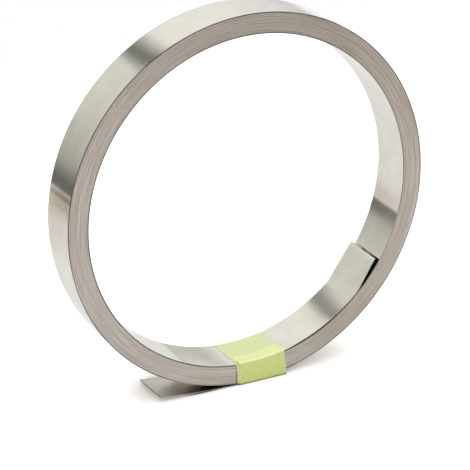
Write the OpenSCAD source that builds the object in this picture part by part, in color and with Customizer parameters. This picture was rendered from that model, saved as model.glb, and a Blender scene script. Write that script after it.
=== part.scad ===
// Coil of nickel strip for battery packs, standing on its rim, with a paper tape band round its section.
// The coil's axis runs along Y, X is to the right in its plane, and Z is up from the floor.

/* [Strip] */
// Width of the strip
strip_w = 10; // [5:0.5:25]
// Thickness of the strip
strip_t = 0.1; // [0.05:0.01:0.2]
// Length of strip on the coil
strip_length = 10000; // [2000:500:12000]
// Air left between two turns
turn_gap = 0.003; // [0:0.001:0.01]
// How far a turn's edge may stand out from its neighbours on the coil's ends
edge_stagger = 0.05; // [0.01:0.01:0.2]

/* [Coil] */
// Outer diameter of the coil
coil_d = 80; // [70:1:120]

/* [Outer end] */
// How far before the coil's lowest point the outer end leaves it
tail_root = 0.8; // [0.2:0.1:1]
// Length of the outer end that the tape holds flat
tail_flat = 4.8; // [4:0.1:8]
// Length of the loose outer end from there to the tip
tail_length = 17; // [8:0.5:30]
// Radius on which the loose outer end curls up
tail_r = 120; // [80:5:400]
// How far the outer end stands below the coil where it leaves it
tail_step = 0.02; // [0.01:0.01:0.05]

/* [Inner end] */
// Where the inner end bends off the wall of the bore, in degrees up from the lowest point
inner_bend_at = 47; // [30:1:90]
// Length of the flap from that bend to the tip
flap_length = 7.2; // [3:0.1:12]
// Angle that the flap is bent inwards
flap_kink = 14; // [12:0.5:25]

/* [Tape] */
// Width of the tape
tape_w = 10.8; // [6:0.1:20]
// Thickness of the tape
tape_t = 0.1; // [0.05:0.01:0.2]
// Place of the tape's middle, in degrees from the lowest point towards the inner end
tape_at = 3.1; // [2:0.1:6]
// Slack between the tape and the strip
tape_slack = 0.02; // [0.01:0.01:0.1]
// How far the lapped end of the tape runs over the edge into the bore
lap_reach = 3; // [1:0.5:8]
// How far the lapped end lies off the layer under it
lap_shift = 0.6; // [0:0.1:1.5]

/* [Hidden] */
$fn = 180;

nickel_grey = "#b9b4ac";
tape_yellow = "#dbe2a0";

// Wound coil: the strip's length fills the ring between the bore and the rim
r_out = coil_d / 2;
wound_area = strip_length * (strip_t + turn_gap);
r_in = sqrt(r_out ^ 2 - wound_area / PI);
turns = round((r_out - r_in) / (strip_t + turn_gap));
pitch = (r_out - r_in) / turns;
half_w = strip_w / 2;

// Loose ends
lowest = 270;
tail_sweep = tail_length / tail_r * 180 / PI;
tail_steps = 12;
flap_root = strip_t / 2;

// Tape: the radii it wraps, and how far its inside and each of its layers stand off the strip
wrap_in = r_in - strip_t;
wrap_out = r_out + tail_step;
layers = [for (n = [0 : 2]) tape_slack + n * tape_t];
half_depth = [for (n = [0 : 2]) half_w + edge_stagger + layers[n]];
axis_z = underside(layers[1]);

// Depth below the axis of the flat under the outer end, which meets the round of the coil at the end's root
function underside(clear) = sqrt((wrap_out + clear) ^ 2 - tail_root ^ 2);

// Axial place of turn i, to a micrometre: neighbours stand out on opposite ends, each by its own amount
function stagger(i) = (i % 2 == 0 ? 1 : -1) * round(1000 * edge_stagger * (0.7 + 0.3 * sin(67 * i))) / 1000;

// Stands a shape drawn in the front view, with its depth along the axis, on the floor
module stand() {
    translate([0, 0, axis_z]) rotate([90, 0, 0]) children();
}

// Radius of the inside (k = 0) or outside (k = 1) of turn i; the first turn takes in the last loose layer
function turn_r(i, k) = i + k == 0 ? r_in - strip_t : r_in + (i + k) * pitch;

// All the turns as one ring, each turn shifted along the axis by its own stagger
module wound_ring() {
    front_edges = [for (i = [0 : turns - 1], k = [0, 1]) [turn_r(i, k), stagger(i) + half_w]];
    back_edges = [for (i = [turns - 1 : -1 : 0], k = [1, 0]) [turn_r(i, k), stagger(i) - half_w]];
    rotate_extrude() polygon(concat(front_edges, back_edges));
}

// The bore, cut all round but for the last layer, which runs on from under the tape to its bend
module bore_cut() {
    rotate(lowest + inner_bend_at) rotate_extrude(angle = 360 - inner_bend_at + tape_at)
        translate([r_in / 2, -strip_w]) square([r_in / 2, 2 * strip_w]);
}

// The inner end's straight flap, rooted in the last layer and bent off the wall of the bore
module inner_flap() {
    rotate(lowest + inner_bend_at) translate([r_in + flap_root, 0, 0]) rotate(flap_kink)
        translate([-strip_t, -strip_t, -half_w]) cube([strip_t, strip_t + flap_length, strip_w]);
}

// The outer end's curl: a point at the given share of its sweep, in from the outer face by depth
function curl(share, depth) = [
    -(tail_r - depth) * sin(share * tail_sweep),
    tail_r - (tail_r - depth) * cos(share * tail_sweep)
];

// The outer end: flat under the coil and the tape, then curling up off the floor
module outer_end() {
    outer_face = [for (i = [0 : tail_steps]) curl(i / tail_steps, 0)];
    inner_face = [for (i = [tail_steps : -1 : 0]) curl(i / tail_steps, strip_t)];
    translate([tail_root - tail_flat, -r_out - tail_step, -half_w]) linear_extrude(strip_w)
        polygon(concat([[tail_flat, 0]], outer_face, inner_face, [[tail_flat, strip_t]]));
}

module nickel_strip() {
    color(nickel_grey) stand() {
        difference() {
            wound_ring();
            bore_cut();
        }
        inner_flap();
        outer_end();
    }
}

// Front view of the coil's outside under the tape, grown by clear: round, but flat under the outer end
module outside_outline(clear) {
    reach = wrap_out + clear;
    intersection() {
        circle(r = reach);
        translate([tail_root, -reach]) square(reach);
    }
    translate([tail_root - reach, -underside(clear)]) square([reach, underside(clear)]);
}

// Front view of what the tape hugs, grown by clear, over a width along the strip
module hugged_section(clear, width, shift) {
    intersection() {
        rotate(tape_at) translate([shift - width / 2, -2 * r_out]) square([width, 2 * r_out]);
        difference() {
            outside_outline(clear);
            circle(r = wrap_in - clear);
        }
    }
}

// A block of the hugged section, from one depth along the axis to another
module wrap_block(clear, back, front, width = tape_w, shift = 0) {
    translate([0, 0, back]) linear_extrude(front - back) hugged_section(clear, width, shift);
}

// One layer of tape all the way round the section
module tape_loop() {
    difference() {
        wrap_block(layers[1], -half_depth[1], half_depth[1]);
        wrap_block(layers[0], -half_depth[0], half_depth[0], 2 * tape_w);
    }
}

// The lapped end: a second layer up the front face and over the edge into the bore
module tape_lap() {
    intersection() {
        difference() {
            wrap_block(layers[2], half_depth[0] - lap_reach, half_depth[2], tape_w, lap_shift);
            wrap_block(layers[1], -half_depth[1], half_depth[1], 2 * tape_w);
        }
        translate([0, 0, -strip_w]) linear_extrude(2 * strip_w) outside_outline(layers[1]);
    }
}

module tape_band() {
    color(tape_yellow) stand() {
        tape_loop();
        tape_lap();
    }
}

nickel_strip();
tape_band();
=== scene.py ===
import bpy
import numpy as np
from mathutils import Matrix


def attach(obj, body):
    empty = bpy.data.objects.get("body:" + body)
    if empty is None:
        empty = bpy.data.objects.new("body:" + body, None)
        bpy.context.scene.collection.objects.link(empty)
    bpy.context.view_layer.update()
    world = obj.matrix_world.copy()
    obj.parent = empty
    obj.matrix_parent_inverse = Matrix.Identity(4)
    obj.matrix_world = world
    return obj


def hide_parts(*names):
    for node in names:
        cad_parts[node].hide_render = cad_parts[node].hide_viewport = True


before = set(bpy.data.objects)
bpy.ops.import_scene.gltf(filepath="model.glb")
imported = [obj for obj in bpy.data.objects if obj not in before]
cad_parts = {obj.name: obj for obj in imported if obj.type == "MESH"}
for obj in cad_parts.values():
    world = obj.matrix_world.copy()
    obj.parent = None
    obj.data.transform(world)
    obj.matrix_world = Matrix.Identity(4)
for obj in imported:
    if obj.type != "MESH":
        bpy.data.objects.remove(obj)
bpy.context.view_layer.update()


# Nickel strip: one length of bare nickel, cold rolled to 0.1 mm, slit to 10 mm and wound in 42 turns. Its
# outer end runs flat under the coil and curls up off the floor on the left. Its inner end has sprung off the
# wall of the bore and is bent inwards. Sizes are in millimetres up to the mesh.
mm = 0.001
strip_w = 10.0
strip_t = 0.1
edge_round = 0.015
coil_axis_z = 40.132
turns = 42
steps_a_turn = 180

# Outer end: a flat run from its root under the coil, then a curl up to the tip
tail_root_x = 0.8
tail_flat_x = -4.0
tail_underside_r = 40.02
tail_curl_r = 155.0
tail_curl_length = 17.0
tail_twist = 0.35
tail_curl_points = 24
tail_flat_points = 8

# Wound turns: pressed tight, but the first and the last turn and the loose last layer lie off the next ones.
# Each gap opens between two places, counted in turns from the root.
last_layer_r = 35.617
first_turn_gap = 0.06
first_gap_opens = (0.95, 1.02)
last_turn_gap = 0.07
last_gap_opens = (turns - 1.05, turns - 0.98)
loose_layer_gap = 0.16
loose_gap_opens = (turns + 0.028, turns + 0.05)

# Inner end: where it leaves the wall, the crease that runs askew across it, and the tip that is bent down
bend_at = np.radians(311.2)
bend_turn = np.radians(13.4)
bend_length = 1.8
crease_skew = 2.3
flap_length = 10.72
flap_step = 0.2
tip_roll = np.radians(12)
tip_roll_length = 1.2
tip_roll_points = 9

# Across the strip: a flat face between two slightly rounded edges, front to back
flat_half_w = strip_w / 2 - edge_round
across = np.concatenate([[-strip_w / 2], np.linspace(-flat_half_w, flat_half_w, 4), [strip_w / 2]])
half_t = np.where(np.abs(across) > flat_half_w + edge_round / 2, strip_t / 2 - edge_round, strip_t / 2)

tail_depth = tail_underside_r - strip_t / 2
root_r = np.hypot(tail_root_x, tail_depth)
root_angle = np.radians(270) + np.arctan2(tail_root_x, tail_depth)
turn_pitch = (root_r - last_layer_r - first_turn_gap - last_turn_gap) / turns


def s_curve(value, start, end):
    """0 before start, 1 after end, and 3t^2 - 2t^3 in between, where t is the share of the way."""
    t = np.clip((value - start) / (end - start), 0, 1)
    return t * t * (3 - 2 * t)


def tail_path():
    """The outer end from tip to root: an arc that rises to the left, then a straight run along the floor."""
    along = np.linspace(tail_curl_length, 0, tail_curl_points)
    curl_x = tail_flat_x - tail_curl_r * np.sin(along / tail_curl_r)
    curl_z = tail_curl_r * (1 - np.cos(along / tail_curl_r)) - tail_depth
    flat_x = np.linspace(tail_flat_x, tail_root_x, tail_flat_points)[1:-1]
    flat_z = np.full_like(flat_x, -tail_depth)
    return np.concatenate([curl_x, flat_x]), np.concatenate([curl_z, flat_z])


def turns_path():
    """The spiral: the radius falls by one pitch a turn, and by a gap more where a turn lies off the next."""
    last_angle = bend_at + 2 * np.pi * turns
    count = int((last_angle - root_angle) / (2 * np.pi) * steps_a_turn) + 1
    turn = np.arange(count) / steps_a_turn
    radius = root_r - turn_pitch * turn
    radius -= first_turn_gap * s_curve(turn, *first_gap_opens)
    radius -= last_turn_gap * s_curve(turn, *last_gap_opens)
    radius -= loose_layer_gap * s_curve(turn, *loose_gap_opens)
    angle = root_angle + 2 * np.pi * turn
    return radius * np.cos(angle), radius * np.sin(angle)


def flap_path(x, z):
    """Runs on from the end of the path x, z, a column for each place across. The heading follows the wall's
    round up to the crease, turns by the bend on an S curve, stays straight, and turns down at the tip."""
    roll_start = flap_length - tip_roll_length
    before_roll = np.arange(flap_step, roll_start, flap_step)
    in_roll = np.linspace(roll_start, flap_length, tip_roll_points)
    along = np.concatenate([before_roll, in_roll])[:, None]
    crease = crease_skew * (0.5 - across / strip_w)
    heading = np.arctan2(z[-1] - z[-2], x[-1] - x[-2]) + np.pi / steps_a_turn
    heading = heading + np.minimum(along, crease + bend_length / 2) / last_layer_r
    heading = heading + bend_turn * s_curve(along, crease, crease + bend_length)
    heading = heading - tip_roll * s_curve(along, roll_start, flap_length)
    step = np.diff(along, axis=0, prepend=0)
    flap_x = x[-1] + np.cumsum(step * np.cos(heading), axis=0)
    flap_z = z[-1] + np.cumsum(step * np.sin(heading), axis=0)
    return flap_x, flap_z


tail_x, tail_z = tail_path()
wound_x, wound_z = turns_path()
flap_x, flap_z = flap_path(wound_x, wound_z)
path_x = np.concatenate([np.outer(np.append(tail_x, wound_x), np.ones(across.size)), flap_x])
path_z = np.concatenate([np.outer(np.append(tail_z, wound_z), np.ones(across.size)), flap_z])
path_length = np.append(0, np.cumsum(np.hypot(np.diff(path_x[:, 0]), np.diff(path_z[:, 0]))))
path_turn = (np.arange(len(path_x)) - tail_x.size) / steps_a_turn
tail_share = np.clip((tail_flat_x - path_x) / tail_curl_length, 0, 1) * (path_turn < 0)[:, None]

# The strip's middle wanders a little along the axis from turn to turn, so its edges step on the coil's
# ends. It is a sum of sines, each with its reach, its waves a turn and its start.
edge_wander = ((0.020, 0.213, 1.0), (0.015, 0.437, 2.1), (0.010, 1.310, 0.0))
path_y = sum(reach * np.sin(2 * np.pi * rate * path_turn + start) for reach, rate, start in edge_wander)


def strip_face(side):
    """One face of the strip: path plus side times half the thickness along the path's outward normal. The
    tail's front edge rises and its back edge falls, by the twist times the square of its share."""
    slope_x = np.gradient(path_x, axis=0)
    slope_z = np.gradient(path_z, axis=0)
    speed = np.hypot(slope_x, slope_z)
    x = path_x + side * half_t * slope_z / speed
    z = path_z - side * half_t * slope_x / speed
    y = path_y[:, None] + across + 0 * x
    z = z - tail_twist * tail_share ** 2 * across / (strip_w / 2)
    return np.stack([x, y, z + coil_axis_z], axis=-1)


def shell(outer, inner):
    """Closed shell between two sheets of points, path by across: the sheets, their long sides and ends."""
    around = np.concatenate([outer, inner[:, ::-1]], axis=1)
    count, columns = around.shape[:2]
    here = np.arange(count * columns).reshape(count, columns)
    beside = np.roll(here, -1, axis=1)
    walls = np.stack([here[:-1], beside[:-1], beside[1:], here[1:]], axis=-1)
    over = here[:, :columns // 2]
    under = here[:, :columns // 2 - 1:-1]
    start = np.stack([over[0, 1:], over[0, :-1], under[0, :-1], under[0, 1:]], axis=-1)
    end = np.stack([over[-1, :-1], over[-1, 1:], under[-1, 1:], under[-1, :-1]], axis=-1)
    return around.reshape(-1, 3), walls, np.concatenate([start, end])


def make_piece(name, points, faces, sharp_from):
    """A mesh object at the origin from points in millimetres, smooth but for edges past so many degrees."""
    mesh = bpy.data.meshes.new(name)
    mesh.from_pydata(points * mm, [], faces, shade_flat=False)
    mesh.set_sharp_from_angle(angle=np.radians(sharp_from))
    piece = bpy.data.objects.new(name, mesh)
    bpy.context.scene.collection.objects.link(piece)
    return piece


def keep_on_points(piece, name, values):
    """Stores a vector for each point, path by around, for the materials to read by that name."""
    kept = piece.data.attributes.new(name, "FLOAT_VECTOR", "POINT")
    kept.data.foreach_set("vector", np.ascontiguousarray(values, dtype=np.float32).ravel())


strip_points, strip_walls, strip_ends = shell(strip_face(1), strip_face(-1))
strip_faces = np.concatenate([strip_walls.reshape(-1, 4), strip_ends])
wound_strip = make_piece("wound_strip", strip_points, strip_faces, sharp_from=30)

# For the metal: the way from the tail's tip, the place across and the number of turns from the root
around_strip = np.concatenate([across, across[::-1]])
lay = np.stack(np.broadcast_arrays(path_length[:, None], around_strip, path_turn[:, None]), axis=-1)
keep_on_points(wound_strip, "lay", lay)

# The two wide faces and the sheared ends are rolled metal, and the rest of the walls are slit edges
rolled, slit = 0, 1
wall_finish = np.full(strip_walls.shape[:2], slit, dtype=np.int32)
wall_finish[:, 1:across.size - 2] = rolled
wall_finish[:, across.size + 1:-2] = rolled
end_finish = np.full(len(strip_ends), rolled, dtype=np.int32)
wound_strip.data.polygons.foreach_set("material_index", np.append(wall_finish, end_finish))


def linear(hex_colour):
    """An sRGB hex colour as linear red, green, blue and an alpha of 1."""
    part = np.array([int(hex_colour[i:i + 2], 16) for i in (1, 3, 5)]) / 255
    value = np.where(part <= 0.04045, part / 12.92, ((part + 0.055) / 1.055) ** 2.4)
    return (*value.tolist(), 1.0)


def add_node(tree, kind, inputs=None, **settings):
    """Adds a node with its settings, and feeds each named or numbered input from a socket or a value."""
    node = tree.nodes.new(kind)
    for name, value in settings.items():
        setattr(node, name, value)
    for name, value in (inputs or {}).items():
        if isinstance(value, bpy.types.NodeSocket):
            tree.links.new(value, node.inputs[name])
        else:
            node.inputs[name].default_value = value
    return node


def new_material(name):
    """An empty node material, as its tree and the material itself."""
    material = bpy.data.materials.new(name)
    material.use_nodes = True
    material.node_tree.nodes.clear()
    return material.node_tree, material


# Cold-rolled nickel: bright from polished rolls, almost a mirror. Its tone clouds over some 5 mm, and its
# face is uneven over some 8 mm. Both edges carry painted shade for their rounded corners, but not on the
# loose last layer or on the right of the coil. The outer end is dull from handling, and is painted greyer
# and brown towards the front as painted shade for the coil's dark underside that it mirrors. Both cut ends
# carry painted shade, and the inner one a painted highlight.
noise_low, noise_high = 0.3, 0.7
cloud_size = 5.0
wave_size = 8.0
wave_height = 0.05
polish_low, polish_high = 0.08, 0.1

# Its painted shade and highlight and its dull end: where each starts, is full or ends, and how dark or
# bright it is there
border_start, border_full = 4.78, 4.95
border_shade = 0.5
loose_start, loose_full = turns, turns + 0.03
unshaded_start_x, unshaded_full_x = 16.0, 24.0
dull_shaded_full, dull_shaded_end = 15.0, 26.0
handled_roughness = 0.14
brown_shade_start, brown_shade_full = 1.0, 5.5
brown_shade_across_start, brown_shade_across_full = 0.3, -3.5
tip_highlight_full, tip_highlight_end = 0.2, 0.5
tip_highlight_gain = 1.12
tip_shade_full, tip_shade_end = 0.08, 0.11
tip_shade_depth = 0.02
tail_tip_shade_full, tail_tip_shade_end = 0.1, 0.2
tail_tip_shade_depth = 0.35

tree, rolled_nickel = new_material("cold_rolled_nickel")
lay_node = add_node(tree, "ShaderNodeAttribute", attribute_name="lay")
lay_parts = add_node(tree, "ShaderNodeSeparateXYZ", {0: lay_node.outputs["Vector"]})
clouds_at = add_node(tree, "ShaderNodeVectorMath", {
    0: lay_node.outputs["Vector"], 1: (1 / cloud_size, 1 / cloud_size, 0)}, operation="MULTIPLY")
clouds = add_node(tree, "ShaderNodeTexNoise", {"Vector": clouds_at.outputs[0], "Scale": 1.0, "Detail": 4.0})
cloud_tone = add_node(tree, "ShaderNodeMapRange", {
    "Value": clouds.outputs["Fac"], "From Min": noise_low, "From Max": noise_high})
cloud_colour = add_node(tree, "ShaderNodeMixRGB", {
    "Fac": cloud_tone.outputs[0], "Color1": linear("#dddad3"), "Color2": linear("#e6e4de")})
waves_at = add_node(tree, "ShaderNodeVectorMath", {
    0: lay_node.outputs["Vector"], 1: (1 / wave_size, 1 / wave_size, 0)}, operation="MULTIPLY")
waves = add_node(tree, "ShaderNodeTexNoise", {"Vector": waves_at.outputs[0], "Scale": 1.0, "Detail": 0.0})

# Its painted shade along both edges, for their rounded corners, and where there is none
off_middle = add_node(tree, "ShaderNodeMath", {0: lay_parts.outputs["Y"]}, operation="ABSOLUTE")
painted_border_shade = add_node(tree, "ShaderNodeMapRange", {
    "Value": off_middle.outputs[0], "From Min": border_start, "From Max": border_full,
    "To Min": 1.0, "To Max": border_shade})
loose_layer = add_node(tree, "ShaderNodeMapRange", {
    "Value": lay_parts.outputs["Z"], "From Min": loose_start, "From Max": loose_full})
place = add_node(tree, "ShaderNodeTexCoord")
place_parts = add_node(tree, "ShaderNodeSeparateXYZ", {0: place.outputs["Object"]})
unshaded_side = add_node(tree, "ShaderNodeMapRange", {
    "Value": place_parts.outputs["X"], "From Min": unshaded_start_x * mm, "From Max": unshaded_full_x * mm})
unshaded_tone = add_node(tree, "ShaderNodeMath", {
    0: loose_layer.outputs[0], 1: unshaded_side.outputs[0]}, operation="MAXIMUM")
painted_border_shade = add_node(tree, "ShaderNodeMath", {
    0: painted_border_shade.outputs[0], 1: unshaded_tone.outputs[0]}, operation="MAXIMUM")
bare_colour = add_node(tree, "ShaderNodeVectorMath", {
    0: cloud_colour.outputs["Color"], 1: painted_border_shade.outputs[0]}, operation="MULTIPLY")

# Its outer end: dull, painted greyer, and painted brown towards the front, as painted shade for the coil's
# dark underside and its shadow, which the end mirrors
dull_and_shaded = add_node(tree, "ShaderNodeMapRange", {
    "Value": lay_parts.outputs["X"], "From Min": dull_shaded_full, "From Max": dull_shaded_end,
    "To Min": 1.0, "To Max": 0.0})
tail_grey_shade = add_node(tree, "ShaderNodeMixRGB", {
    "Fac": dull_and_shaded.outputs[0], "Color1": linear("#ffffff"), "Color2": linear("#e6e4e2")})
brown_shade_along = add_node(tree, "ShaderNodeMapRange", {
    "Value": lay_parts.outputs["X"], "From Min": brown_shade_start, "From Max": brown_shade_full})
brown_shade_across = add_node(tree, "ShaderNodeMapRange", {
    "Value": lay_parts.outputs["Y"], "From Min": brown_shade_across_start, "From Max": brown_shade_across_full})
brown_shade_place = add_node(tree, "ShaderNodeMath", {
    0: brown_shade_along.outputs[0], 1: brown_shade_across.outputs[0]}, operation="MULTIPLY")
brown_shade = add_node(tree, "ShaderNodeMath", {
    0: brown_shade_place.outputs[0], 1: dull_and_shaded.outputs[0]}, operation="MULTIPLY")
tail_brown_shade = add_node(tree, "ShaderNodeMixRGB", {
    "Fac": brown_shade.outputs[0], "Color1": linear("#ffffff"), "Color2": linear("#bdaea2")})
tail_painted_shade = add_node(tree, "ShaderNodeVectorMath", {
    0: tail_grey_shade.outputs["Color"], 1: tail_brown_shade.outputs["Color"]}, operation="MULTIPLY")

# Its two sheared ends: both carry a painted dark line of shade at the cut, and the inner one a painted
# highlight on its face beside the cut
from_tip = add_node(tree, "ShaderNodeMath", {
    0: path_length[-1], 1: lay_parts.outputs["X"]}, operation="SUBTRACT")
tip_highlight = add_node(tree, "ShaderNodeMapRange", {
    "Value": from_tip.outputs[0], "From Min": tip_highlight_full, "From Max": tip_highlight_end,
    "To Min": tip_highlight_gain, "To Max": 1.0})
tip_shade = add_node(tree, "ShaderNodeMapRange", {
    "Value": from_tip.outputs[0], "From Min": tip_shade_full, "From Max": tip_shade_end,
    "To Min": tip_shade_depth, "To Max": 1.0})
tail_tip_shade = add_node(tree, "ShaderNodeMapRange", {
    "Value": lay_parts.outputs["X"], "From Min": tail_tip_shade_full, "From Max": tail_tip_shade_end,
    "To Min": tail_tip_shade_depth, "To Max": 1.0})
tip_tone = add_node(tree, "ShaderNodeMath", {
    0: tip_highlight.outputs[0], 1: tip_shade.outputs[0]}, operation="MULTIPLY")
tip_tone = add_node(tree, "ShaderNodeMath", {
    0: tip_tone.outputs[0], 1: tail_tip_shade.outputs[0]}, operation="MULTIPLY")
ends_painted_light = add_node(tree, "ShaderNodeVectorMath", {
    0: tail_painted_shade.outputs[0], 1: tip_tone.outputs[0]}, operation="MULTIPLY")
nickel_colour = add_node(tree, "ShaderNodeVectorMath", {
    0: bare_colour.outputs[0], 1: ends_painted_light.outputs[0]}, operation="MULTIPLY")

nickel_gloss = add_node(tree, "ShaderNodeMapRange", {
    "Value": clouds.outputs["Fac"], "From Min": noise_low, "From Max": noise_high,
    "To Min": polish_low, "To Max": polish_high})
nickel_dull = add_node(tree, "ShaderNodeMath", {
    0: dull_and_shaded.outputs[0], 1: handled_roughness, 2: nickel_gloss.outputs[0]}, operation="MULTIPLY_ADD")
nickel_bump = add_node(tree, "ShaderNodeBump", {
    "Height": waves.outputs["Fac"], "Distance": wave_height * mm})
nickel_shader = add_node(tree, "ShaderNodeBsdfPrincipled", {
    "Base Color": nickel_colour.outputs[0], "Metallic": 1.0, "Roughness": nickel_dull.outputs[0],
    "Normal": nickel_bump.outputs[0]})
add_node(tree, "ShaderNodeOutputMaterial", {"Surface": nickel_shader.outputs[0]})

# Slit nickel edge: sheared by the slitting knives, so dull and a little darker. Each turn's edge takes the
# light in its own way, in streaks some 11 mm long, which draws the turns as fine rings on the coil's ends.
# Faint stains some 12 mm long lie over them, and the turns at the rim and the bore carry painted shade.
streak_size = 11.0
stain_size = 12.0
stains_a_turn = 0.3
stain_low, stain_high = 0.35, 0.65
rim_darkest, rim_lightest = 0.2, 0.6
shaded_turns, clear_turns = 1.0, 2.2
tail_full, tail_end = -0.06, -0.02
over_tail_start, over_tail_full = 0.90, 0.94
past_root_full, past_root_end = 1.0, 1.03

tree, slit_edge = new_material("slit_nickel_edge")
lay_node = add_node(tree, "ShaderNodeAttribute", attribute_name="lay")
lay_parts = add_node(tree, "ShaderNodeSeparateXYZ", {0: lay_node.outputs["Vector"]})
place = add_node(tree, "ShaderNodeTexCoord")
by_turn = add_node(tree, "ShaderNodeCombineXYZ", {"Y": lay_parts.outputs["Z"]})
streaks_at = add_node(tree, "ShaderNodeVectorMath", {
    0: place.outputs["Object"], 1: (1 / (streak_size * mm), 0, 1 / (streak_size * mm)),
    2: by_turn.outputs[0]}, operation="MULTIPLY_ADD")
streaks = add_node(tree, "ShaderNodeTexNoise", {
    "Vector": streaks_at.outputs[0], "Scale": 1.0, "Detail": 3.0})
turn_tone = add_node(tree, "ShaderNodeMapRange", {
    "Value": streaks.outputs["Fac"], "From Min": noise_low, "From Max": noise_high})
turn_colour = add_node(tree, "ShaderNodeMixRGB", {
    "Fac": turn_tone.outputs[0], "Color1": linear("#bebab7"), "Color2": linear("#ece9e6")})
stains_at = add_node(tree, "ShaderNodeVectorMath", {
    0: lay_node.outputs["Vector"], 1: (1 / stain_size, 0, stains_a_turn)}, operation="MULTIPLY")
stains = add_node(tree, "ShaderNodeTexNoise", {"Vector": stains_at.outputs[0], "Scale": 1.0, "Detail": 2.0})
stain_tone = add_node(tree, "ShaderNodeMapRange", {
    "Value": stains.outputs["Fac"], "From Min": stain_low, "From Max": stain_high})
stain_colour = add_node(tree, "ShaderNodeMixRGB", {
    "Fac": stain_tone.outputs[0], "Color1": linear("#fff5f1"), "Color2": linear("#f7f7ef")})
edge_colour = add_node(tree, "ShaderNodeVectorMath", {
    0: turn_colour.outputs["Color"], 1: stain_colour.outputs["Color"]}, operation="MULTIPLY")

# The painted shade at the rim and at the bore, which the right of the bore doesn't have
rim_dark = add_node(tree, "ShaderNodeMapRange", {
    "Value": stains.outputs["Fac"], "From Min": stain_low, "From Max": stain_high,
    "To Min": rim_darkest, "To Max": rim_lightest})
off_rim = add_node(tree, "ShaderNodeMapRange", {
    "Value": lay_parts.outputs["Z"], "From Min": shaded_turns, "From Max": clear_turns,
    "To Min": rim_dark.outputs[0]})
off_bore = add_node(tree, "ShaderNodeMapRange", {
    "Value": lay_parts.outputs["Z"], "From Min": turns - clear_turns, "From Max": turns - shaded_turns,
    "To Min": 1.0, "To Max": rim_dark.outputs[0]})
place_parts = add_node(tree, "ShaderNodeSeparateXYZ", {0: place.outputs["Object"]})
unshaded_side = add_node(tree, "ShaderNodeMapRange", {
    "Value": place_parts.outputs["X"], "From Min": unshaded_start_x * mm, "From Max": unshaded_full_x * mm})
bore_tone = add_node(tree, "ShaderNodeMath", {
    0: off_bore.outputs[0], 1: unshaded_side.outputs[0]}, operation="MAXIMUM")
wound_tone = add_node(tree, "ShaderNodeMath", {
    0: off_rim.outputs[0], 1: bore_tone.outputs[0]}, operation="MINIMUM")

# What stands clear of that shade: the tail, the loose last layer, and the turn that lies over the tail
loose_end = add_node(tree, "ShaderNodeMapRange", {
    "Value": lay_parts.outputs["Z"], "From Min": tail_full, "From Max": tail_end,
    "To Min": 1.0, "To Max": 0.0})
loose_layer = add_node(tree, "ShaderNodeMapRange", {
    "Value": lay_parts.outputs["Z"], "From Min": loose_start, "From Max": loose_full})
loose_tone = add_node(tree, "ShaderNodeMath", {
    0: loose_end.outputs[0], 1: loose_layer.outputs[0]}, operation="MAXIMUM")
over_tail = add_node(tree, "ShaderNodeMapRange", {
    "Value": lay_parts.outputs["Z"], "From Min": over_tail_start, "From Max": over_tail_full})
past_root = add_node(tree, "ShaderNodeMapRange", {
    "Value": lay_parts.outputs["Z"], "From Min": past_root_full, "From Max": past_root_end,
    "To Min": 1.0, "To Max": 0.0})
tail_tone = add_node(tree, "ShaderNodeMath", {
    0: over_tail.outputs[0], 1: past_root.outputs[0]}, operation="MINIMUM")
clear_tone = add_node(tree, "ShaderNodeMath", {
    0: loose_tone.outputs[0], 1: tail_tone.outputs[0]}, operation="MAXIMUM")
rim_tone = add_node(tree, "ShaderNodeMath", {
    0: wound_tone.outputs[0], 1: clear_tone.outputs[0]}, operation="MAXIMUM")
rim_colour = add_node(tree, "ShaderNodeVectorMath", {
    0: edge_colour.outputs[0], 1: rim_tone.outputs[0]}, operation="MULTIPLY")
edge_shader = add_node(tree, "ShaderNodeBsdfPrincipled", {
    "Base Color": rim_colour.outputs[0], "Metallic": 1.0, "Roughness": 0.45})
add_node(tree, "ShaderNodeOutputMaterial", {"Surface": edge_shader.outputs[0]})

wound_strip.data.materials.append(rolled_nickel)
wound_strip.data.materials.append(slit_edge)
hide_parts("nickel_strip")
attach(wound_strip, "root")


# Paper tape: one short length of thin yellow-green paper tape that holds the coil shut. It starts at the
# front's foot, goes once round the coil's section and flat along the floor, climbs the front again a little
# to the right, and ends torn off a few millimetres inside the bore.
tape_w = 10.8
tape_t = 0.1
tape_edge_t = 0.03
tape_slack = 0.02
tape_turn = np.radians(3.1)
tape_step = 0.15
tape_columns = 60
wander_room = 0.07
wrap_in_r = last_layer_r - strip_t / 2
wrap_out_r = tail_underside_r
wrap_half_depth = strip_w / 2 + wander_room
fold_r = 0.25
fold_points = 6
start_lift = 0.4

# Its lap over its own start: how far it shifts and leans, and how its last fold, end and corner come loose
lap_shift = 0.6
lap_skew = np.tan(np.radians(4.5))
lap_reach = 3.6
lap_rise = 1.5
lap_lift = 0.005
fold_lift = 0.26
fold_lift_length = 1.2
tear_from = 0.8 * lap_reach
tear_depth = 0.7
corner_lift = 0.18
corner_width = 1.6
front_share = 0.95


def rounded_route(corners, radius, step):
    """Straight runs through square corners, each corner an arc of that radius: points some step apart."""
    corners = np.array(corners)
    heading = np.diff(corners, axis=0)
    heading /= np.abs(heading).sum(axis=1, keepdims=True)
    runs = []
    start = corners[0]
    quarter = np.linspace(0, np.pi / 2, fold_points, endpoint=False)[:, None]
    for corner, into, out in zip(corners[1:-1], heading[:-1], heading[1:]):
        stop = corner - radius * into
        share = np.linspace(0, 1, int(np.abs(stop - start).sum() / step), endpoint=False)[:, None]
        runs.append(start + share * (stop - start))
        runs.append(stop + radius * (out * (1 - np.cos(quarter)) + into * np.sin(quarter)))
        start = corner + radius * out
    share = np.linspace(0, 1, int(np.abs(corners[-1] - start).sum() / step))[:, None]
    runs.append(start + share * (corners[-1] - start))
    return np.concatenate(runs)


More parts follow.
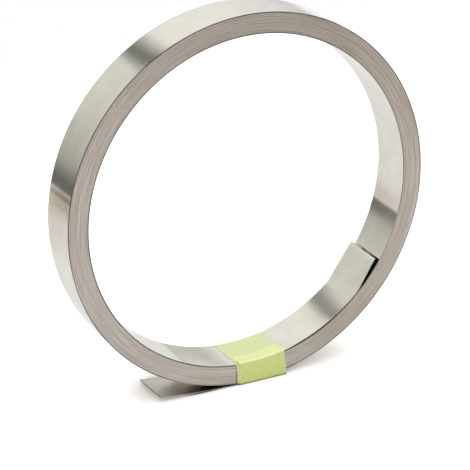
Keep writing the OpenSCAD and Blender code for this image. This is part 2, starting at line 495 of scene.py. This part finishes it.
# The tape's way round the section, in depth below the axis and place along it
front, back = -wrap_half_depth, wrap_half_depth
wrap_top = wrap_in_r - tape_slack
wrap_foot = wrap_out_r + tape_slack
route_corners = [(wrap_foot - start_lift, front), (wrap_top, front), (wrap_top, back), (wrap_foot, back),
                 (wrap_foot, front), (wrap_top, front), (wrap_top, front + lap_reach)]
route = rounded_route(route_corners, fold_r, tape_step)
route_length = np.concatenate([[0], np.cumsum(np.hypot(*np.diff(route, axis=0).T))])
depth_share = ((route[:, 0] - wrap_top) / (wrap_foot - wrap_top))[:, None]
axis_share = (route[:, 1] / wrap_half_depth)[:, None]

# Along that way: where it drifts to the right under the coil, lies on its own start, tears and lifts
lap_end = route_length[-1]
lap_top = lap_end - lap_reach
lap_foot = lap_top - (wrap_foot - wrap_top)
drift = s_curve(route_length, lap_foot - 2 * wrap_half_depth, lap_foot)[:, None]
on_lap = s_curve(route_length, lap_foot - lap_rise, lap_foot)[:, None]
tear = s_curve(route_length, lap_end - tear_from, lap_end)[:, None]
loose_fold = fold_lift * np.exp(-((route_length - lap_top) / fold_lift_length) ** 2)[:, None]

column = np.linspace(0, 1, tape_columns)
thickness = np.full(tape_columns, tape_t)
thickness[[0, -1]] = tape_edge_t
left_edge = lap_shift * drift - tape_w / 2
right_edge = tape_w / 2 + lap_shift * drift
right_edge = right_edge + on_lap * lap_skew * (depth_share - 0.5) * (wrap_foot - wrap_top)
tape_x = left_edge + column * (right_edge - left_edge)

# The torn end's rag: random draws, smoothed for its wide tongues, with a share of them raw for its fibres
rag_span = 5
rag_tongues = 0.6
rag_fibres = 0.25
ragged = np.random.default_rng(7).normal(size=tape_columns)
tongues = np.convolve(ragged, np.ones(rag_span) / rag_span, mode="same")
ragged = rag_tongues * tongues + rag_fibres * ragged
torn_share = axis_share + tear * tear_depth * ragged / wrap_half_depth


def tape_face(clear):
    """One face of the tape, that far off the strip: depth goes from the bore's round to the flat of the
    floor by its share, and the lot is turned about the coil's axis. The left edge stands off at the foot,
    and the last fold over the front edge is loose."""
    over_start = clear + on_lap * (tape_t + lap_lift)
    inside = np.sqrt((wrap_in_r - over_start - loose_fold) ** 2 - tape_x ** 2)
    floor_depth = np.sqrt((wrap_out_r + clear) ** 2 - tail_root_x ** 2)
    foot = (floor_depth + tape_x * np.sin(tape_turn)) / np.cos(tape_turn)
    depth = inside + depth_share * (foot - inside)
    x = tape_x * np.cos(tape_turn) + depth * np.sin(tape_turn)
    z = tape_x * np.sin(tape_turn) - depth * np.cos(tape_turn)
    y = torn_share * (wrap_half_depth + over_start)
    on_front = s_curve(-axis_share, front_share, 1.0)
    left_corner = depth_share * s_curve(-tape_x, tape_w / 2 - corner_width, tape_w / 2)
    y = y - corner_lift * on_front * left_corner
    return np.stack([x, y, z + coil_axis_z], axis=-1)


tape_points, tape_walls, tape_ends = shell(tape_face(tape_slack + thickness), tape_face(tape_slack))
tape_faces = np.concatenate([tape_walls.reshape(-1, 4), tape_ends])
paper_tape = make_piece("paper_tape", tape_points, tape_faces, sharp_from=50)

# For the paper: where two layers lie, where the fold's painted highlight at the top of the front is, and
# what is in the bore, which takes a painted sheen
ply_edge = 0.05
bore_share = 0.06
crease_past_top = 0.35
crease_width = 0.3
plies = on_lap * s_curve(-tape_x, -tape_w / 2 - ply_edge, -tape_w / 2 + ply_edge)
fold_highlight = np.exp(-((route_length - lap_top - crease_past_top) / crease_width) ** 2)[:, None]
in_bore = 1 - s_curve(depth_share, 0, bore_share)
paper = np.stack(np.broadcast_arrays(plies, fold_highlight, in_bore), axis=-1)
keep_on_points(paper_tape, "paper", np.concatenate([paper, paper[:, ::-1]], axis=1))

# Crepe paper tape: matte and thin. One layer is pale and two are a fuller yellow-green, and both are painted
# lighter in the bore, a painted sheen where the tape faces up. Its fibres cloud the colour over about 0.5
# mm, and the fold over the edge carries a painted highlight.
fibre_low, fibre_high = 0.94, 1.04
fibre_size = 0.5
fibre_height = 0.02

tree, crepe_paper = new_material("crepe_paper")
paper_node = add_node(tree, "ShaderNodeAttribute", attribute_name="paper")
paper_parts = add_node(tree, "ShaderNodeSeparateXYZ", {0: paper_node.outputs["Vector"]})
place = add_node(tree, "ShaderNodeTexCoord")
fibres = add_node(tree, "ShaderNodeTexNoise", {
    "Vector": place.outputs["Object"], "Scale": 1 / (fibre_size * mm), "Detail": 3.0})
front_colour = add_node(tree, "ShaderNodeMixRGB", {
    "Fac": paper_parts.outputs["X"], "Color1": linear("#cad298"), "Color2": linear("#ccd582")})
bore_sheen_colour = add_node(tree, "ShaderNodeMixRGB", {
    "Fac": paper_parts.outputs["X"], "Color1": linear("#d6dea5"), "Color2": linear("#e1e9a3")})
ply_colour = add_node(tree, "ShaderNodeMixRGB", {
    "Fac": paper_parts.outputs["Z"], "Color1": front_colour.outputs["Color"],
    "Color2": bore_sheen_colour.outputs["Color"]})
fold_highlight_colour = add_node(tree, "ShaderNodeMixRGB", {
    "Fac": paper_parts.outputs["Y"], "Color1": ply_colour.outputs["Color"], "Color2": linear("#f2f8bd")})
fibre_tone = add_node(tree, "ShaderNodeMapRange", {
    "Value": fibres.outputs["Fac"], "From Min": noise_low, "From Max": noise_high,
    "To Min": fibre_low, "To Max": fibre_high})
paper_colour = add_node(tree, "ShaderNodeVectorMath", {
    0: fold_highlight_colour.outputs["Color"], 1: fibre_tone.outputs[0]}, operation="MULTIPLY")
paper_bump = add_node(tree, "ShaderNodeBump", {
    "Height": fibres.outputs["Fac"], "Distance": fibre_height * mm})
paper_shader = add_node(tree, "ShaderNodeBsdfPrincipled", {
    "Base Color": paper_colour.outputs[0], "Roughness": 0.42, "Normal": paper_bump.outputs[0]})
add_node(tree, "ShaderNodeOutputMaterial", {"Surface": paper_shader.outputs[0]})

paper_tape.data.materials.append(crepe_paper)
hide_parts("tape_band")
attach(paper_tape, "root")


# White sheet of card that the coil stands on. It is white to the camera and in the metal, keeps the coil's
# shadow, and carries painted shade where the metal all but touches it and under the coil. It ends some
# 20 cm before and behind the coil, and that edge shows in the metal as a sharp line.
sheet_half_x = 600.0
sheet_half_y = 212.0
seen_glow = 0.12
camera_glow = 0.32
contact_reach = 0.65
contact_full, contact_shade = 0.25, 0.05
front_reach = 8.0
front_darkest = 0.35

sheet_corners = np.array([(-1, -1, 0), (1, -1, 0), (1, 1, 0), (-1, 1, 0)]) * (sheet_half_x, sheet_half_y, 0)
sheet_mesh = bpy.data.meshes.new("white_sheet")
sheet_mesh.from_pydata(sheet_corners * mm, [], [(0, 1, 2, 3)])
white_sheet = bpy.data.objects.new("white_sheet", sheet_mesh)
bpy.context.scene.collection.objects.link(white_sheet)

# White card: matte, with a faint warm glow for what looks at it straight or by way of the metal
tree, white_card = new_material("white_card")
rays = add_node(tree, "ShaderNodeLightPath")
seen = add_node(tree, "ShaderNodeMath", {
    0: rays.outputs["Is Camera Ray"], 1: rays.outputs["Is Glossy Ray"]}, operation="MAXIMUM")
seen = add_node(tree, "ShaderNodeMath", {
    0: seen.outputs[0], 1: rays.outputs["Is Transmission Ray"]}, operation="MAXIMUM")
glow = add_node(tree, "ShaderNodeMath", {0: seen.outputs[0], 1: seen_glow}, operation="MULTIPLY")
glow = add_node(tree, "ShaderNodeMath", {
    0: rays.outputs["Is Camera Ray"], 1: camera_glow, 2: glow.outputs[0]}, operation="MULTIPLY_ADD")
# Painted contact shade where the metal lies within reach of the sheet
near_sky = add_node(tree, "ShaderNodeAmbientOcclusion", {"Distance": contact_reach * mm}, samples=8)
near_shade = add_node(tree, "ShaderNodeMapRange", {
    "Value": near_sky.outputs["AO"], "From Min": contact_full, "From Max": 1.0,
    "To Min": contact_shade, "To Max": 1.0})
# Painted shade under the coil, counted only towards the front and up
to_front = add_node(tree, "ShaderNodeCombineXYZ", {"X": 0.0, "Y": -0.7, "Z": 0.7})
front_sky = add_node(tree, "ShaderNodeAmbientOcclusion", {
    "Distance": front_reach * mm, "Normal": to_front.outputs[0]}, samples=8)
front_shade = add_node(tree, "ShaderNodeMapRange", {
    "Value": front_sky.outputs["AO"], "To Min": front_darkest, "To Max": 1.0})
contact = add_node(tree, "ShaderNodeMath", {
    0: near_shade.outputs[0], 1: front_shade.outputs[0]}, operation="MULTIPLY")
glow = add_node(tree, "ShaderNodeMath", {0: glow.outputs[0], 1: contact.outputs[0]}, operation="MULTIPLY")
card_colour = add_node(tree, "ShaderNodeMixRGB", {
    "Fac": rays.outputs["Is Glossy Ray"], "Color1": linear("#f0f0f0"), "Color2": linear("#d8d8d8")})
card_colour = add_node(tree, "ShaderNodeVectorMath", {
    0: card_colour.outputs["Color"], 1: contact.outputs[0]}, operation="MULTIPLY")
card_glow = add_node(tree, "ShaderNodeEmission", {"Color": linear("#fff5ee"), "Strength": glow.outputs[0]})
card_paper = add_node(tree, "ShaderNodeBsdfDiffuse", {"Color": card_colour.outputs[0]})
card_both = add_node(tree, "ShaderNodeAddShader", {0: card_glow.outputs[0], 1: card_paper.outputs[0]})
add_node(tree, "ShaderNodeOutputMaterial", {"Surface": card_both.outputs[0]})
sheet_mesh.materials.append(white_card)


# Cards in the studio that show only in the metal. Behind the coil are two grey uprights, one above the
# other, a low pale wall, a dark ledge at the edge of the sheet, and strips of painted shadow on the sheet,
# warm to brown, which stand for the coil's own shadow there. The same are before the coil, turned half
# round, with one card more of painted shadow near its foot.
card_points_a_side = 17

# Each card has a corner, two sides, a colour, and the shares over which it fades in from its four sides
studio_cards = (
    ((-82, 221, 60), (55, 0, 0), (0, 0, 128), "#9c9e9a", (0.51, 0.38, 0.0, 0.0)),
    ((-92, 221, 188), (84, 0, 0), (0, 0, 232), "#7f817d", (0.44, 0.56, 0.0, 0.0)),
    ((40, 214, 0), (111, 0, 0), (0, 0, 115), "#d3d2ce", (0.35, 0.05, 0.0, 0.45)),
    ((-147, 213, 0), (90, 0, 0), (0, 0, 34), "#7a7471", (0.12, 0.25, 0.0, 0.65)),
    # The last five cards are the coil's shadow on the sheet, painted in strips from warm to brown
    ((-58, 90, 0.2), (120, 0, 0), (-82, 122, 0), "#e2dad7", (0.10, 0.30, 0.5, 0.0)),
    ((-240, 50, 0.3), (210, 0, 0), (-45, 75, 0), "#efe5e1", (0.0, 0.06, 0.5, 0.2)),
    ((-360, 92, 0.4), (300, 0, 0), (-82, 120, 0), "#bfb5a2", (0.0, 0.06, 0.42, 0.0)),
    ((-425, 188, 0.6), (300, 0, 0), (-17, 24, 0), "#bcb5b1", (0.0, 0.06, 0.2, 0.0)),
    ((-406, 160, 0.8), (300, 0, 0), (-22, 32, 0), "#8b8277", (0.0, 0.06, 0.35, 0.2)),
)
half_turn = np.array((-1, -1, 1))
turned_cards = [(half_turn * corner, half_turn * along, half_turn * up, shade, fades)
                for corner, along, up, shade, fades in studio_cards]
# One card more of painted shadow on the sheet, before the coil's foot
front_shadow_card = ((10, -52, 0.3), (56, 0, 0), (0, 46, 0), "#bfb8b2", (0.35, 0.35, 0.35, 0.2))


def card_grid(corner, along, up, fades):
    """A flat card as a grid of points, with its cover: an S curve in from each side over that share."""
    share = np.linspace(0, 1, card_points_a_side)
    s, t = np.meshgrid(share, share, indexing="ij")
    points = np.array(corner) + s[..., None] * np.array(along) + t[..., None] * np.array(up)
    sides = (s, 1 - s, t, 1 - t)
    cover = np.prod([s_curve(side, -1e-6, fade) for side, fade in zip(sides, fades)], axis=0)
    return points.reshape(-1, 3), cover.ravel()


card_points, card_cover, card_tone = [], [], []
for corner, along, up, shade, fades in (*studio_cards, *turned_cards, front_shadow_card):
    points, cover = card_grid(corner, along, up, fades)
    card_points.append(points)
    card_cover.append(cover)
    card_tone.append(np.tile(linear(shade)[:3], (len(cover), 1)))
cell = np.arange(card_points_a_side ** 2).reshape(card_points_a_side, card_points_a_side)
cell_faces = np.stack([cell[:-1, :-1], cell[1:, :-1], cell[1:, 1:], cell[:-1, 1:]], axis=-1).reshape(-1, 4)
card_faces = np.concatenate([cell_faces + i * cell.size for i in range(len(card_points))])
card_mesh = bpy.data.meshes.new("studio_cards")
card_mesh.from_pydata(np.concatenate(card_points) * mm, [], card_faces)
cover_kept = card_mesh.attributes.new("cover", "FLOAT", "POINT")
cover_kept.data.foreach_set("value", np.concatenate(card_cover))
tone_kept = card_mesh.attributes.new("tone", "FLOAT_VECTOR", "POINT")
tone_kept.data.foreach_set("vector", np.concatenate(card_tone).ravel())
cards = bpy.data.objects.new("studio_cards", card_mesh)
bpy.context.scene.collection.objects.link(cards)
cards.visible_camera = False
cards.visible_diffuse = False
cards.visible_shadow = False

# Card cloth: an even matte shade that thins out to nothing where its cover ends
tree, card_cloth = new_material("card_cloth")
tone_node = add_node(tree, "ShaderNodeAttribute", attribute_name="tone")
cover_node = add_node(tree, "ShaderNodeAttribute", attribute_name="cover")
card_shade = add_node(tree, "ShaderNodeEmission", {"Color": tone_node.outputs["Vector"], "Strength": 1.0})
card_clear = add_node(tree, "ShaderNodeBsdfTransparent")
card_mix = add_node(tree, "ShaderNodeMixShader", {
    0: cover_node.outputs["Fac"], 1: card_clear.outputs[0], 2: card_shade.outputs[0]})
add_node(tree, "ShaderNodeOutputMaterial", {"Surface": card_mix.outputs[0]})
card_mesh.materials.append(card_cloth)


# Studio round the coil: white to the camera and plain soft light for the paper and the sheet. The metal sees
# a wall that darkens downwards at the back left, at the front right and straight to the sides, and a bright
# wall elsewhere.
lowest_way, highest_way = -0.3, 0.5
bright_start, bright_full = -0.22, -0.08
ahead_start, ahead_full = 0.35, 0.6

# Each wall has shades at heights, which are shares of the way from the lowest to the highest
wall_shades = {
    "dark_wall": ((0.20, "#727270"), (0.27, "#979791"), (0.33, "#b5b5ae"), (0.45, "#c6c6bd"),
                  (0.57, "#d0d0c8"), (0.68, "#e0dfd7"), (0.87, "#eaeae2")),
    "bright_wall": ((0.23, "#ffffff"), (0.34, "#dcdcdc"), (0.40, "#e0e0e0"), (0.475, "#ececec"),
                    (0.62, "#f0f0f0"), (0.82, "#fffef8")),
}

world = bpy.data.worlds.new("studio")
bpy.context.scene.world = world
world.use_nodes = True
tree = world.node_tree
tree.nodes.clear()
way = add_node(tree, "ShaderNodeTexCoord")
way_parts = add_node(tree, "ShaderNodeSeparateXYZ", {0: way.outputs["Generated"]})
height = add_node(tree, "ShaderNodeMapRange", {
    "Value": way_parts.outputs["Z"], "From Min": lowest_way, "From Max": highest_way})
walls = {}
for wall, shades in wall_shades.items():
    ramp = add_node(tree, "ShaderNodeValToRGB", {"Fac": height.outputs[0]}, label=wall)
    stops = ramp.color_ramp.elements
    while len(stops) < len(shades):
        stops.new(0.5)
    for stop, (position, shade) in zip(stops, shades):
        stop.position = position
        stop.color = linear(shade)
    walls[wall] = ramp.outputs["Color"]
side = add_node(tree, "ShaderNodeMath", {
    0: way_parts.outputs["X"], 1: way_parts.outputs["Y"]}, operation="MULTIPLY")
bright_side = add_node(tree, "ShaderNodeMapRange", {
    "Value": side.outputs[0], "From Min": bright_start, "From Max": bright_full})
ahead = add_node(tree, "ShaderNodeMath", {0: way_parts.outputs["Y"]}, operation="ABSOLUTE")
ahead = add_node(tree, "ShaderNodeMapRange", {
    "Value": ahead.outputs[0], "From Min": ahead_start, "From Max": ahead_full})
bright_side = add_node(tree, "ShaderNodeMath", {
    0: bright_side.outputs[0], 1: ahead.outputs[0]}, operation="MULTIPLY")
in_metal = add_node(tree, "ShaderNodeMixRGB", {
    "Fac": bright_side.outputs[0], "Color1": walls["dark_wall"], "Color2": walls["bright_wall"]})
rays = add_node(tree, "ShaderNodeLightPath")
shiny = add_node(tree, "ShaderNodeMath", {
    0: rays.outputs["Is Glossy Ray"], 1: rays.outputs["Is Transmission Ray"]}, operation="MAXIMUM")
soft_light = add_node(tree, "ShaderNodeMixRGB", {
    "Fac": shiny.outputs[0], "Color1": linear("#f3f3f3"), "Color2": in_metal.outputs["Color"]})
studio = add_node(tree, "ShaderNodeMixRGB", {
    "Fac": rays.outputs["Is Camera Ray"], "Color1": soft_light.outputs["Color"],
    "Color2": linear("#ffffff")})
studio_light = add_node(tree, "ShaderNodeBackground", {"Color": studio.outputs["Color"], "Strength": 1.0})
add_node(tree, "ShaderNodeOutputWorld", {"Surface": studio_light.outputs[0]})


# Softbox over the coil: a square lamp a metre up, a little to the front and left. It doesn't show in the
# metal, where it would wash out the walls behind it.
softbox_side = 1200.0
softbox_place = np.array((-100.0, -100.0, 1000.0))
softbox_data = bpy.data.lights.new("softbox", "AREA")
softbox_data.size = softbox_side * mm
softbox_data.energy = 4.0
softbox = bpy.data.objects.new("softbox", softbox_data)
softbox.location = softbox_place * mm
softbox.visible_glossy = False
bpy.context.scene.collection.objects.link(softbox)


# Camera: a long lens from the front and left, a little above the coil, that looks down and to the right
camera_place = np.array((-172.70, -332.73, 196.06))
camera_down = np.radians(23.70)
camera_right = np.radians(27.27)
camera_data = bpy.data.cameras.new("camera")
camera_data.sensor_width = 36.0
camera_data.lens = 153.19
camera = bpy.data.objects.new("camera", camera_data)
camera.location = camera_place * mm
camera.rotation_euler = (np.pi / 2 - camera_down, 0, -camera_right)
bpy.context.scene.collection.objects.link(camera)
bpy.context.scene.camera = camera
bpy.context.scene.view_settings.view_transform = "Standard"
